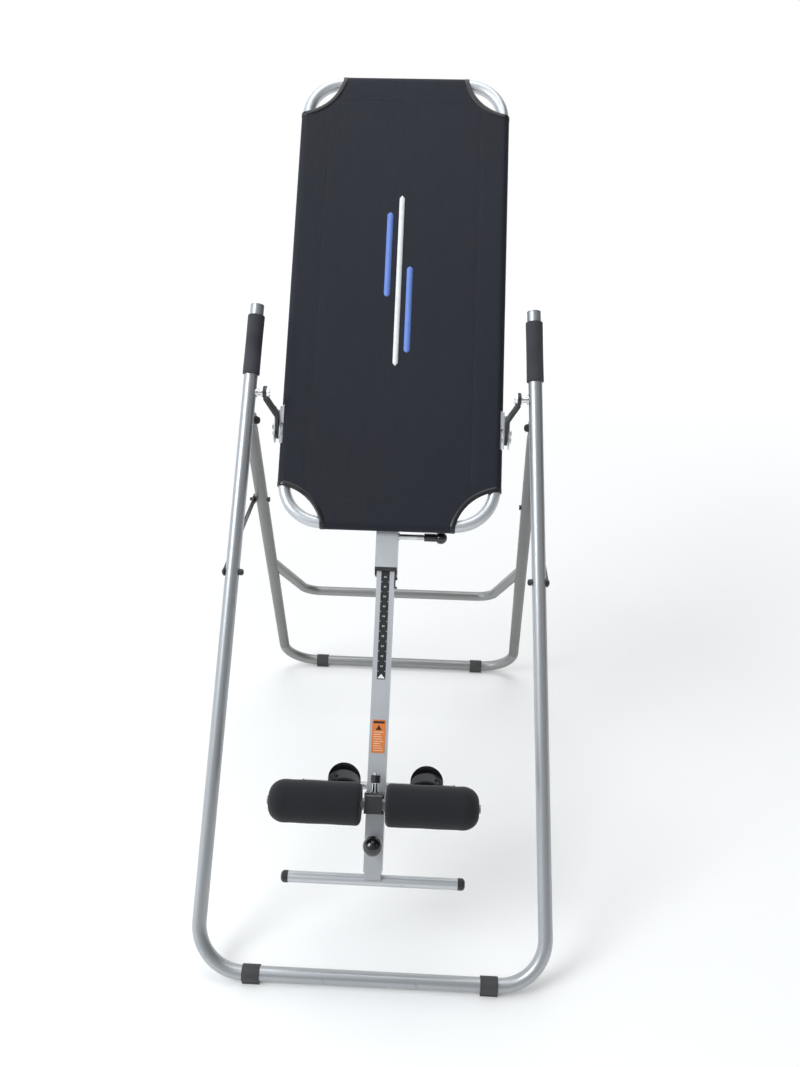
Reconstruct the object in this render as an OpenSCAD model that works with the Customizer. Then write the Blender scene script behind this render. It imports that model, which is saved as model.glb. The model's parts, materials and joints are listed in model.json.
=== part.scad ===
// Folding inversion table. Two hinged U-shaped tube frames carry a tilting bed, and a
// telescoping boom below the bed carries the ankle rollers, heel cups and footrest.
// X is across the table, Y points to its rear and Z is up. The floor is at Z = 0.

/* [Stand] */
// Width of the stand at the floor, between the tubes' centre lines
stand_w = 684; // [670:1:690]
// Depth of the stand at the floor, between the tubes' centre lines
stand_d = 1140; // [1130:1:1150]
// Height of the floor tubes' centre line
floor_z = 17; // [17:0.5:18]
// Outer diameter of the stand's tubes
tube_d = 28; // [27:0.5:28]
// Wall of the round tubes
tube_wall = 1.5; // [1.2:0.1:2]
// Bend radius of the floor corners, on the centre line
corner_r = 90; // [80:1:100]
// Length of an upright, from the floor tube's centre line to its top
upright_len = 1330; // [1325:1:1340]
// Inward tilt of each upright, in degrees
upright_tilt = 2.5; // [2.3:0.1:2.7]
// Diameter of the rear crossbar
crossbar_d = 25; // [22:1:26]
// Length of a foam grip
grip_len = 124; // [110:1:126]
// Outer diameter of a foam grip
grip_d = 35; // [33:1:36]
// Outer diameter of a rubber foot
foot_d = 33; // [32:1:34]
// Length of a rubber foot
foot_len = 34; // [28:1:40]
// Distance of a rubber foot from the middle
foot_x = 231; // [200:1:236]

/* [Pivots] */
// Depth position of the bed's pivot
pivot_y = -11; // [-12:0.5:-10]
// Height of the bed's pivot
pivot_z = 1020; // [1018:1:1022]
// Depth position of the stand's folding pivot
fold_y = -9; // [-9.5:0.5:-8.5]
// Height of the stand's folding pivot
fold_z = 960; // [959:0.5:961]
// Height of the bolt that the locking arm turns on
lock_z = 698; // [690:1:706]
// Height of the stud that the locking arm hooks over
stud_z = 721; // [718:1:724]

/* [Bed] */
// Lean of the bed from upright, in degrees
table_lean = 35.5; // [34:0.5:37]
// Tube diameter of the bed
bed_d = 25; // [24:0.5:25]
// Distance of a side tube from the middle
bed_x = 216; // [214:1:216]
// Depth of the bed's plane behind the pivot
bed_y = 49.8; // [49.5:0.1:49.9]
// Head tube above the pivot, along the bed
head_z = 745.5; // [740:0.5:750]
// Foot tube below the pivot, along the bed
foot_z = 256.5; // [250:0.5:260]
// Bend radius of the bed's corners
bed_r = 80; // [70:1:90]
// Thickness of the cover's fabric
cover_t = 1.5; // [1:0.1:1.6]

/* [Boom] */
// Outer side of the sleeve behind the bed
sleeve_w = 45; // [45:0.5:45.4]
// Outer side of the boom
boom_w = 36; // [35.6:0.1:36]
// Depth of the boom's axis behind the pivot
boom_y = 85.1; // [85.1:0.1:85.4]
// Lower end of the sleeve, below the pivot
sleeve_end = 342; // [338:1:346]
// Lower end of the boom, below the pivot
boom_end = 935; // [932:1:936]
// Length of the boom
boom_len = 875; // [840:5:900]
// Spacing of the height holes
hole_step = 20; // [20:1:20]

/* [Ankle holder and footrest] */
// Roller axle below the pivot, along the boom
ankle_z = 803; // [802:0.5:804]
// Diameter of a foam roller
roller_d = 80; // [74:1:80]
// Outer end of a foam roller, from the middle
roller_end = 197.5; // [190:0.5:200]
// Heel bar below the pivot, along the boom
heel_z = 780; // [778:1:782]
// Depth of the heel bar behind the pivot
heel_y = 150; // [148:1:152]
// Width of a heel cup
cup_w = 66; // [60:1:70]
// Footrest bar below the pivot, along the boom
rest_z = 952; // [950:1:954]
// Diameter of the footrest bar
rest_d = 22; // [20:1:24]
// Half the length of the footrest bar
rest_half = 178; // [160:1:180]

/* [Hidden] */
$fn = 64;
half_w = stand_w / 2;
floor_y = stand_d / 2;
fit = 0.05; // radial clearance of a running fit
gap = 0.3; // clearance between parts that pass each other
over = 1; // how far a cutter runs past a face
upright_lean = atan((floor_y + pivot_y) / (pivot_z - floor_z));
// Along the upright's plane: station of the apex, and the folding pivot's distance behind it
apex_v = (fold_y + floor_y) * sin(upright_lean) + (fold_z - floor_z) * cos(upright_lean);
apex_w = (fold_z - floor_z) * sin(upright_lean) - (fold_y + floor_y) * cos(upright_lean);
apex_x = half_w - apex_v * tan(upright_tilt);
leg_lean = atan((floor_y - fold_y) / (fold_z - floor_z));
leg_plane_len = norm([floor_y - fold_y, fold_z - floor_z]);
leg_tilt = atan((half_w - apex_x) / leg_plane_len);
leg_len = leg_plane_len / cos(leg_tilt);

// Points on the right-hand upright and leg, from their height
function upright_at(z) = [half_w - (z - floor_z) / cos(upright_lean) * tan(upright_tilt),
    (z - floor_z) * tan(upright_lean) - floor_y, z];
function leg_at(z) = [half_w - (z - floor_z) / cos(leg_lean) * tan(leg_tilt),
    floor_y - (z - floor_z) * tan(leg_lean), z];

pivot_at = upright_at(pivot_z);
lock_at = upright_at(lock_z);
stud_at = leg_at(stud_z);
pivot_pin_d = 12;
fold_bolt_d = 10;
bolt_d = 8;
knuckle_r = 13;
cheek_r = 14;
cheek_t = 3;
cheek_gap = 18.4; // between the two cheeks of an apex bracket
tongue = cheek_gap - 2 * gap - 0.2; // width of a rear leg's flattened end
taper = [16, 50]; // where the flattening ends and starts, from the folding pivot
arm_x = 323.2; // inner face of a locking arm
arm_t = 2.5;
arm_h = 17;
stud_d = 10;
arm_len = norm([stud_at[1] - lock_at[1], stud_z - lock_z]);
arm_rise = atan((stud_z - lock_z) / (stud_at[1] - lock_at[1]));
// Crossbar: height of its ends on the legs, and its bends
cross_end_z = 490;
cross_end = leg_at(cross_end_z);
cross_y = 458;
cross_z = 314;
cross_bend_x = 255;
cross_r = 50;
lap = 0.3; // overlap where a straight end joins its bend
// Bed
back_y = bed_y + bed_d / 2; // rear of the bed's tubes
front_y = bed_y - bed_d / 2;
cut_foot = [137, 184]; // ends of a corner cut at the foot: along the foot edge and the side
cut_head = [139, 668];
brace_z = 417;
brace_w = 25;
notch_z = [-92, -8]; // gap in the cover for the hinge brackets
hinge_dir = [50, -54]; // direction of a hinge arm in the bed's plane
hinge_angle = atan2(hinge_dir[1], hinge_dir[0]);
hinge_holes = [62, 77, 92];
hinge_bolts_at = [77, 92];
arm_in = 256; // inner face of a hinge arm at its pivot pin
lug_x = 234.5; // and in its bracket
arm_plate = 6;
cheek_in = 231; // inner cheek of a hinge bracket
cheek_out = 242;
cheek_plate = 2;
// Height pin
pin_d = 8;
rod_d = 5;
boom_pin_z = 274;
boom_pin_len = 52.5;
// Ankle clamp and its pin
slider_w = 32;
clamp_w = 38;
clamp_front = 14;
ankle_pin_y = 34;
short_pin_len = 17;
axle_d = 10;
// Footrest
stem_w = 32;
stem_top = 822;
rest_pin_z = 882;
rest_hole_n = 3;
boom_front = boom_y - boom_w / 2;

// ---- shared shapes ----

module side(s) { mirror([s < 0 ? 1 : 0, 0, 0]) children(); }

module both_sides() {
    side(1) children();
    side(-1) children();
}

// Round tube along Z
module pipe(len, d, wall) {
    difference() {
        cylinder(h = len, d = d);
        translate([0, 0, -over]) cylinder(h = len + 2 * over, d = d - 2 * wall);
    }
}

// Round tube along X, centred
module cross_pipe(len, d, wall) {
    translate([-len / 2, 0, 0]) rotate([0, 90, 0]) pipe(len, d, wall);
}

// Bend of a round tube in the XY plane, about the origin, from +X
module bend(r, turn, d, wall) {
    rotate_extrude(angle = turn) translate([r, 0]) difference() {
        circle(d = d);
        circle(d = d - 2 * wall);
    }
}

// Square tube along Z, centred on the axis
module box_pipe(len, w, wall) {
    difference() {
        translate([-w / 2, -w / 2, 0]) cube([w, w, len]);
        translate([wall - w / 2, wall - w / 2, -over])
            cube([w - 2 * wall, w - 2 * wall, len + 2 * over]);
    }
}

// Rod along X, from one x to another
module rod_x(from, to, d) {
    translate([from, 0, 0]) rotate([0, 90, 0]) cylinder(h = to - from, d = d);
}

// Six-sided prism along Z, measured across its flats
module hex(flats, h) { cylinder(h = h, d = flats / cos(30), $fn = 6); }

// Closed nut along Z with a domed end and a blind hole
module cap_nut(flats, h, hole) {
    difference() {
        union() {
            hex(flats, h * 0.55);
            cylinder(h = h * 0.8, d = flats * 0.92);
            translate([0, 0, h * 0.8]) cylinder(h = h * 0.2, d1 = flats * 0.92, d2 = flats * 0.5);
        }
        translate([0, 0, -over]) cylinder(h = h * 0.7 + over, d = hole);
    }
}

// Drum along Z with rounded ends, made of a few cones
module round_drum(h, d, r, bore, steps = 5) {
    function edge(a) = [d / 2 - r + r * cos(a), h - r + r * sin(a)];
    rotate_extrude() polygon(concat(
        [[bore / 2, h]],
        [for (i = [0 : steps]) edge(90 - 90 * i / steps)],
        [for (i = [0 : steps]) [edge(90 * i / steps)[0], h - edge(90 * i / steps)[1]]],
        [[bore / 2, 0]]));
}

// ---- frames of the moving groups ----

// Plane of the front frame: X across, Y up along the uprights
module front_plane() {
    translate([0, -floor_y, floor_z]) rotate([90 - upright_lean, 0, 0]) children();
}

module rear_plane() {
    translate([0, floor_y, floor_z]) rotate([90 + leg_lean, 0, 0]) children();
}

// The bed's own frame: origin on the pivot, Z towards the head, Y towards the bed's back
module bed_frame() {
    translate([0, pivot_y, pivot_z]) rotate([-table_lean, 0, 0]) children();
}

module boom_frame() { bed_frame() translate([0, boom_y, 0]) children(); }

function reach(tilt) = corner_r * tan((90 + tilt) / 2);

// Floor tube with its two corners
module floor_tube(tilt) {
    cross_pipe(2 * (half_w - reach(tilt)), tube_d, tube_wall);
    both_sides() translate([half_w - reach(tilt), corner_r, 0]) rotate([0, 0, -90])
        bend(corner_r, 90 + tilt, tube_d, tube_wall);
}

// Straight tube above a corner
module riser(tilt, from, to, d = tube_d, wall = tube_wall) {
    translate([half_w - from * sin(tilt), from * cos(tilt), 0]) rotate([-90, 0, tilt])
        pipe(to - from, d, wall);
}

// ---- front frame ----

module front_floor_tube() {
    color("silver") front_plane() floor_tube(upright_tilt);
}

module upright() {
    color("silver") difference() {
        front_plane() riser(upright_tilt, reach(upright_tilt), upright_len);
        translate([0, pivot_y, pivot_z])
            rod_x(pivot_at[0] - tube_d, pivot_at[0], pivot_pin_d + 2 * fit);
        translate(lock_at) rod_x(-tube_d, tube_d, bolt_d + 2 * fit);
    }
}

module upright_left() { side(-1) upright(); }
module upright_right() { side(1) upright(); }

// Plugs in the open tops of the uprights
module upright_caps() {
    color("silver") both_sides() front_plane()
        translate([half_w - upright_len * sin(upright_tilt),
            upright_len * cos(upright_tilt), 0]) rotate([-90, 0, upright_tilt]) {
            translate([0, 0, -14]) cylinder(h = 14.1, d = tube_d - 2 * tube_wall - 2 * fit);
            translate([0, 0, fit]) round_drum(3, tube_d, 2, 0.02);
        }
}

module handle_grips() {
    color([0.08, 0.08, 0.09]) both_sides() front_plane()
        let (at = upright_len - 20 - grip_len)
        translate([half_w - at * sin(upright_tilt), at * cos(upright_tilt), 0])
            rotate([-90, 0, upright_tilt]) round_drum(grip_len, grip_d, 2.5, tube_d + 2 * fit);
}

// Rubber sleeve round a floor tube, with a flat pad that stands on the floor
module foot() {
    difference() {
        union() {
            rod_x(-foot_len / 2, foot_len / 2, foot_d);
            translate([-foot_len / 2, -12, -floor_z]) cube([foot_len, 24, floor_z]);
        }
        rod_x(-foot_len, foot_len, tube_d + 2 * fit);
    }
}

module front_feet() {
    color([0.1, 0.1, 0.1]) both_sides() translate([foot_x, -floor_y, floor_z]) foot();
}

// Headed pins that the bed turns on, each with a loose washer's width of shoulder
module pivot_pins() {
    color([0.8, 0.8, 0.82]) both_sides() translate([0, pivot_y, pivot_z]) {
        rod_x(arm_in - 1, pivot_at[0] - 1, pivot_pin_d);
        rod_x(pivot_at[0] - 17, pivot_at[0] - 14.8, 20);
        rod_x(arm_in + 7.2, arm_in + 9.5, 19);
        translate([arm_in - 5.5, 0, 0]) rotate([0, 90, 0]) hex(17, 4.6);
        rod_x(arm_in - 7, arm_in - 5.4, 14);
    }
}

// Cheek of an apex bracket: a plate from the upright to the folding pivot behind it
module cheek_outline() {
    translate([-cheek_r, apex_w]) square([2 * cheek_r, -apex_w - 4]);
    translate([0, apex_w]) circle(r = cheek_r);
}

// Forks welded behind the uprights, which hold the flattened ends of the rear legs
module apex_brackets() {
    color([0.25, 0.25, 0.26]) both_sides() front_plane() difference() {
        translate([apex_x, apex_v, 0]) {
            for (x = [-cheek_gap / 2 - cheek_t, cheek_gap / 2])
                translate([x, 0, 0]) rotate([90, 0, 90]) linear_extrude(cheek_t)
                    cheek_outline();
            translate([-cheek_gap / 2 - 1, 2, -tube_d / 2 - 2.9]) cube([cheek_gap + 2, 11, 2.4]);
        }
        translate([apex_x, apex_v, apex_w]) rod_x(-tube_d, tube_d, fold_bolt_d + 2 * fit);
        translate([half_w, 0, 0]) rotate([-90, 0, upright_tilt])
            cylinder(h = upright_len, d = tube_d + 0.2);
    }
}

// Bolt along X with a low domed head on the outer side
module frame_bolt(from, to, d, flats) {
    rod_x(from, to + 0.1, d);
    rod_x(to, to + 1.1, flats);
    translate([to + 1.1, 0, 0]) rotate([0, 90, 0])
        cylinder(h = 1.7, d1 = flats, d2 = flats * 0.6);
}

outer_face = cheek_gap / 2 + cheek_t + 0.2;

module frame_bolts() {
    color([0.12, 0.12, 0.12]) both_sides() {
        front_plane() translate([apex_x, apex_v, apex_w])
            frame_bolt(-outer_face - 5, outer_face, fold_bolt_d, 17);
        translate(lock_at) {
            frame_bolt(-tube_d / 2 - 5, arm_x + arm_t + 0.2 - lock_at[0], bolt_d, 13);
            rod_x(tube_d / 2 + 0.5, arm_x - 0.2 - lock_at[0], 14);
        }
    }
}

module cap_nuts() {
    color([0.1, 0.1, 0.1]) both_sides() {
        front_plane() translate([apex_x - outer_face, apex_v, apex_w]) rotate([0, -90, 0])
            cap_nut(15, 9, fold_bolt_d + 2 * fit);
        translate(lock_at) translate([-tube_d / 2 - 0.8, 0, 0]) rotate([0, -90, 0])
            cap_nut(13, 8, bolt_d + 2 * fit);
    }
}

// Flat bar that turns on the upright and hooks over the stud of the rear leg
module lock_arm() {
    color([0.1, 0.1, 0.1]) translate([arm_x, lock_at[1], lock_z]) rotate([arm_rise, 0, 0])
        rotate([90, 0, 90]) linear_extrude(arm_t) difference() {
            union() {
                circle(d = arm_h);
                translate([0, -arm_h / 2]) square([arm_len, arm_h]);
                translate([arm_len, 0]) circle(d = arm_h + 8);
            }
            circle(d = bolt_d + 2 * fit);
            translate([arm_len, 0]) {
                circle(d = stud_d + 2 * gap);
                rotate([0, 0, -30]) polygon([[-stud_d / 2, 0], [stud_d / 2, 0],
                    [stud_d / 2 + 2.5, -arm_h], [-stud_d / 2 - 2.5, -arm_h]]);
            }
        }
}

module lock_arm_left() { side(-1) lock_arm(); }
module lock_arm_right() { side(1) lock_arm(); }

// ---- rear frame ----

module rear_floor_tube() {
    color([0.62, 0.64, 0.66]) rear_plane() floor_tube(leg_tilt);
}

// Upper end of a rear leg, flattened on both sides to fit between the bracket's cheeks
module leg_end() {
    wide = tube_d / 2 + 1;
    start = leg_len - taper[1] - 12;
    intersection() {
        rear_plane() translate([half_w - start * sin(leg_tilt), start * cos(leg_tilt), 0])
            rotate([-90, 0, leg_tilt]) cylinder(h = taper[1] + 6, d = tube_d + 0.04);
        rear_plane() translate([apex_x, leg_plane_len, -tube_d]) linear_extrude(2 * tube_d)
            polygon([[-tongue / 2, 0], [-tongue / 2, -taper[0]], [-wide, -taper[1]], [-wide, -90],
                [wide, -90], [wide, -taper[1]], [tongue / 2, -taper[0]], [tongue / 2, 0]]);
    }
}

module rear_leg() {
    color([0.62, 0.64, 0.66]) difference() {
        union() {
            rear_plane() riser(leg_tilt, reach(leg_tilt), leg_len - taper[1] - 8);
            leg_end();
            translate([apex_x, fold_y, fold_z]) rod_x(-tongue / 2, tongue / 2, 2 * knuckle_r);
        }
        translate([apex_x, fold_y, fold_z]) rod_x(-tube_d, tube_d, fold_bolt_d + 2 * fit);
        translate(stud_at) rod_x(-tube_d, tube_d, bolt_d + 2 * fit);
    }
}

module rear_leg_left() { side(-1) rear_leg(); }
module rear_leg_right() { side(1) rear_leg(); }

// Bent bar that ties the rear legs together, below and behind them
module rear_crossbar() {
    rise = norm([cross_y - cross_end[1], cross_end_z - cross_z]);
    turn = atan2(rise, cross_end[0] - cross_bend_x);
    start = cross_r * tan(turn / 2);
    color([0.62, 0.64, 0.66]) difference() {
        translate([0, cross_y, cross_z])
            rotate([180 - atan2(cross_end_z - cross_z, cross_y - cross_end[1]), 0, 0]) {
                cross_pipe(2 * (cross_bend_x - start), crossbar_d, tube_wall);
                both_sides() {
                    translate([cross_bend_x - start, cross_r, 0]) rotate([0, 0, -90])
                        bend(cross_r, turn, crossbar_d, tube_wall);
                    translate([cross_bend_x - start, cross_r, 0]) rotate([0, 0, turn - 90])
                        translate([cross_r, 0, 0]) rotate([-90, 0, 0])
                        translate([0, 0, -lap])
                        pipe(norm([rise, cross_end[0] - cross_bend_x]) - start + lap,
                            crossbar_d + 0.04, tube_wall + 0.04);
                }
            }
        both_sides() rear_plane() translate([half_w, 0, 0]) rotate([-90, 0, leg_tilt])
            cylinder(h = leg_len, d = tube_d + 0.2);
    }
}

module rear_feet() {
    color([0.1, 0.1, 0.1]) both_sides() translate([foot_x, floor_y, floor_z]) foot();
}

// Headed studs on the rear legs, for the locking arms
module arm_studs() {
    color([0.15, 0.15, 0.15]) both_sides() translate(stud_at) {
        rod_x(-tube_d / 2 - 1, tube_d, bolt_d);
        translate([-tube_d / 2 - 4.2, 0, 0]) rotate([0, 90, 0]) hex(11, 3.4);
        rod_x(tube_d / 2 + 0.6, arm_x - gap - stud_at[0], 15);
        rod_x(tube_d / 2 + 1, arm_x + arm_t + gap + 0.1 - stud_at[0], stud_d);
        rod_x(arm_x + arm_t + gap - stud_at[0], arm_x + arm_t + gap + 2 - stud_at[0], 15);
    }
}

// ---- bed ----

module bed_side() {
    color([0.72, 0.74, 0.76]) bed_frame() translate([bed_x, bed_y, bed_r - foot_z])
        pipe(head_z + foot_z - 2 * bed_r, bed_d, tube_wall);
}

module bed_side_left() { side(-1) bed_side(); }
module bed_side_right() { side(1) bed_side(); }

// End tube of the bed with its two corners, its corners turning upwards
module bed_end() {
    cross_pipe(2 * (bed_x - bed_r), bed_d, tube_wall);
    both_sides() translate([bed_x - bed_r, 0, bed_r]) rotate([90, 0, 0]) rotate([0, 0, -90])
        bend(bed_r, 90, bed_d, tube_wall);
}

module bed_head_tube() {
    color([0.72, 0.74, 0.76]) bed_frame() translate([0, bed_y, head_z]) mirror([0, 0, 1])
        bed_end();
}

module bed_foot_tube() {
    color([0.72, 0.74, 0.76]) bed_frame() translate([0, bed_y, -foot_z]) bed_end();
}

// Square crosspiece behind the side tubes, at the top of the sleeve
module bed_brace() {
    color([0.72, 0.74, 0.76]) bed_frame()
        translate([-bed_x - 8, back_y + 0.2 + brace_w / 2, brace_z + brace_w / 2])
            rotate([0, 90, 0]) box_pipe(2 * bed_x + 16, brace_w, 2);
}

module boom_sleeve() {
    color([0.75, 0.77, 0.79]) boom_frame() difference() {
        translate([0, 0, -sleeve_end]) box_pipe(sleeve_end + brace_z - 0.2, sleeve_w, 2);
        translate([0, 0, -boom_pin_z]) rod_x(0, sleeve_w, pin_d + 2 * fit);
    }
}

// Black guide at the lower end of the sleeve, with a groove for the scale on the boom
module sleeve_bushing() {
    hole = boom_w + 0.2;
    liner = sleeve_w - 4.1;
    color([0.1, 0.1, 0.1]) boom_frame() difference() {
        union() {
            translate([-sleeve_w / 2, -sleeve_w / 2, -sleeve_end - 8])
                cube([sleeve_w, sleeve_w, 7.9]);
            translate([-liner / 2, -liner / 2, -sleeve_end - 1]) cube([liner, liner, 41]);
            for (s = [-1, 1])
                translate([s * (sleeve_w / 2 - 1.5) - 1.5, -15, -sleeve_end - 16])
                    cube([3, 30, 10]);
        }
        translate([-hole / 2, -hole / 2, -sleeve_end - 30]) cube([hole, hole, 80]);
        translate([-9.5, -hole / 2 - 1, -sleeve_end - 30]) cube([19, 5, 80]);
    }
}

// Small clip under the bushing that marks the boom's setting
module stop_clip() {
    color([0.1, 0.1, 0.1]) boom_frame() translate([boom_w / 2 + 0.6, -18, -sleeve_end - 42]) {
        cube([2, 14, 25.8]);
        cube([5.4, 14, 3]);
        translate([0, 8, 18]) cube([5.4, 6, 5]);
    }
}

function arc(at, r, from, to, n = 14) =
    [for (i = [0 : n]) at + r * [cos(from + (to - from) * i / n), sin(from + (to - from) * i / n)]];

// Strip of fabric round a bed tube, between two angles
module wrap(at, from, to) {
    r = bed_d / 2 + 0.2;
    polygon(concat(arc(at, r + cover_t, from, to), arc(at, r, to, from)));
}

// Sling that is stretched over the four tubes of the bed, with cut corners
module cover() {
    front = front_y - 0.2 - cover_t;
    hem = back_y + 0.2;
    color([0.17, 0.18, 0.21]) bed_frame() difference() {
        union() {
            translate([0, front + cover_t, 0]) rotate([90, 0, 0]) linear_extrude(cover_t)
                polygon([[-bed_x, -cut_foot[1]], [-cut_foot[0], -foot_z],
                    [cut_foot[0], -foot_z], [bed_x, -cut_foot[1]],
                    [bed_x, cut_head[1]], [cut_head[0], head_z],
                    [-cut_head[0], head_z], [-bed_x, cut_head[1]]]);
            both_sides() translate([0, 0, -cut_foot[1]])
                linear_extrude(cut_head[1] + cut_foot[1]) {
                    wrap([bed_x, bed_y], -90, 90);
                    translate([bed_x - 30, hem]) square([30, cover_t]);
                }
            translate([-cut_head[0], 0, 0]) rotate([90, 0, 90])
                linear_extrude(2 * cut_head[0]) {
                    wrap([bed_y, head_z], 180, 0);
                    translate([hem, head_z - 30]) square([cover_t, 30]);
                }
            translate([-cut_foot[0], 0, 0]) rotate([90, 0, 90])
                linear_extrude(2 * cut_foot[0]) {
                    wrap([bed_y, -foot_z], 180, 360);
                    translate([hem, -foot_z]) square([cover_t, 30]);
                }
        }
        translate([-sleeve_w / 2 - 3, bed_y + 4, -foot_z - 40]) cube([sleeve_w + 6, 40, 90]);
        translate([-300, bed_y + 8, brace_z - 3]) cube([600, 40, brace_w + 6]);
        both_sides() translate([bed_x - 40, bed_y - 10, notch_z[0]])
            cube([80, 40, notch_z[1] - notch_z[0]]);
    }
}

module hinge_bracket_outline() {
    translate([41, -76]) square([27, 62]);
    translate([54.5, -76]) circle(r = 13.5);
}

// Places its child along a hinge arm, in the plane of the arm's plate
module hinge_plane() { rotate([hinge_angle, 0, 0]) children(); }

// Channels welded to the bed's side tubes, which take the hinge arms
module hinge_brackets() {
    color([0.7, 0.71, 0.73]) bed_frame() both_sides() difference() {
        union() {
            for (x = [cheek_in, cheek_out]) translate([x, 0, 0]) rotate([90, 0, 90])
                linear_extrude(cheek_plate) hinge_bracket_outline();
            translate([cheek_in, 66, -52]) cube([cheek_out - cheek_in + cheek_plate, 2, 38]);
            translate([bed_x + 2, bed_y - 9, -50]) cube([cheek_in - bed_x - 1.9, 22, 36]);
        }
        translate([bed_x, bed_y, -120]) cylinder(h = 120, d = bed_d + 0.2);
        for (at = hinge_bolts_at) hinge_plane() translate([0, at, 0])
            rod_x(cheek_in - 10, cheek_out + 10, bolt_d + 2 * fit);
    }
}

// Joggled arm between a pivot pin and a bracket, with a row of setting holes
module hinge_arm() {
    color([0.1, 0.1, 0.1]) bed_frame() hinge_plane() difference() {
        union() {
            rod_x(arm_in, arm_in + arm_plate, 28);
            translate([0, 0, -11]) linear_extrude(22)
                polygon([[arm_in, 0], [arm_in + arm_plate, 0], [arm_in + arm_plate, 12],
                    [lug_x + arm_plate, 50], [lug_x + arm_plate, 92], [lug_x, 92],
                    [lug_x, 48], [arm_in, 10]]);
            translate([0, 92, 0]) rod_x(lug_x, lug_x + arm_plate, 22);
        }
        rod_x(arm_in - 10, arm_in + 10, 16 + 2 * fit);
        for (at = hinge_holes) translate([0, at, 0])
            rod_x(lug_x - 5, lug_x + arm_plate + 5, bolt_d + 2 * fit);
    }
}

module hinge_arm_left() { side(-1) hinge_arm(); }
module hinge_arm_right() { side(1) hinge_arm(); }

// Plain bushes between the hinge arms and the pivot pins
module pivot_bushes() {
    color([0.15, 0.15, 0.15]) bed_frame() both_sides() difference() {
        rod_x(arm_in - 0.3, arm_in + arm_plate + 0.8, 16);
        rod_x(arm_in - 5, arm_in + 10, pivot_pin_d + 2 * fit);
    }
}

// Pins that set the hinge arms in their brackets
module hinge_bolts() {
    color([0.8, 0.8, 0.82]) bed_frame() both_sides() hinge_plane()
        for (at = hinge_bolts_at) translate([0, at, 0]) {
            rod_x(cheek_in - 1.6, cheek_out + cheek_plate + 1, bolt_d);
            translate([cheek_out + cheek_plate + 0.1, 0, 0]) rotate([0, 90, 0]) hex(13, 4.5);
        }
}

// ---- spring pins, drawn along +Z from the face that they stand on ----

// Barrel with a guide hole at its foot and a chamber for the spring
module pin_barrel(len, od, guide, chamber, flange_d) {
    difference() {
        union() {
            cylinder(h = len, d = od);
            cylinder(h = 2.5, d = flange_d);
        }
        translate([0, 0, -over]) cylinder(h = len, d = pin_d + 2 * fit);
        translate([0, 0, guide]) cylinder(h = len - guide - 3, d = chamber);
        translate([0, 0, len - over * 4]) cylinder(h = 10, d = rod_d + 2 * fit);
    }
}

// Plunger with a collar that the spring pushes on
module plunger(tip, collar, len, chamber) {
    translate([0, 0, tip]) cylinder(h = collar - tip + 0.1, d = pin_d);
    translate([0, 0, collar]) cylinder(h = 1.5, d = chamber - 0.3);
    cylinder(h = len, d = rod_d);
}

// Coil spring between two heights
module coil(from, to, mean_d, wire, turns) {
    sides = 6;
    rings = 14 * turns;
    rise = to - from - wire;
    function ring(i) = [for (k = [0 : sides - 1])
        let (a = 360 * i / 14, b = 360 * k / sides, r = mean_d / 2 + wire / 2 * cos(b))
        [r * cos(a), r * sin(a), from + wire / 2 + rise * i / rings + wire / 2 * sin(b)]];
    polyhedron(
        points = [for (i = [0 : rings]) each ring(i)],
        faces = concat([[for (k = [0 : sides - 1]) k]],
            [for (i = [0 : rings - 1]) for (k = [0 : sides - 1])
                let (a = i * sides + k, b = i * sides + (k + 1) % sides)
                [a, a + sides, b + sides, b]],
            [[for (k = [sides - 1 : -1 : 0]) rings * sides + k]]));
}

module boom_pin_frame() {
    boom_frame() translate([sleeve_w / 2, 0, -boom_pin_z]) rotate([0, 90, 0]) children();
}

module boom_pin_barrel() {
    color([0.8, 0.8, 0.82]) boom_pin_frame() translate([0, 0, 0.05])
        pin_barrel(boom_pin_len, 12.6, 8, 10.4, 17);
}

module boom_pin() {
    color([0.7, 0.7, 0.72]) boom_pin_frame()
        plunger((boom_w - sleeve_w) / 2 + gap, 17, 84, 10.4);
}

// Ribbed collar that slides over the barrel, with a ball on its end
module boom_pin_knob() {
    color([0.06, 0.06, 0.06]) boom_pin_frame() difference() {
        union() {
            translate([0, 0, 53]) cylinder(h = 25, d = 16.6);
            for (i = [0 : 4]) translate([0, 0, 54.5 + i * 4.4]) cylinder(h = 2.6, d = 17.6);
            translate([0, 0, 87.5]) sphere(d = 26);
        }
        translate([0, 0, 50]) cylinder(h = 18, d = 13.4);
        translate([0, 0, 60]) cylinder(h = 24.2, d = rod_d + 0.02);
    }
}

module boom_pin_spring() {
    color([0.6, 0.6, 0.6]) boom_pin_frame() coil(19, 49, 7.8, 1.1, 9);
}

// ---- boom ----

module boom() {
    color([0.76, 0.78, 0.8]) boom_frame() difference() {
        translate([0, 0, -boom_end]) box_pipe(boom_len, boom_w, tube_wall);
        for (i = [0 : 10]) translate([0, 0, -boom_pin_z - i * hole_step])
            rod_x(0, boom_w, pin_d + 1);
        translate([-slider_w / 2 - 0.4, -boom_w, -ankle_z - slider_w / 2 - 0.4])
            cube([slider_w + 0.8, boom_w, slider_w + 0.8]);
        translate([0, 0, -rest_pin_z]) rotate([90, 0, 0]) cylinder(h = boom_w, d = pin_d + 2 * fit);
    }
}

// Thin stickers on the front of the boom: the height scale and a plain label
module boom_labels() {
    front = -boom_w / 2 - 0.42;
    color([0.1, 0.1, 0.1]) boom_frame() translate([-8.5, front, -sleeve_end - 226])
        cube([17, 0.4, 224]);
    color([0.9, 0.42, 0.16]) boom_frame() translate([-13, front, -711]) cube([26, 0.4, 64]);
}

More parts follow.
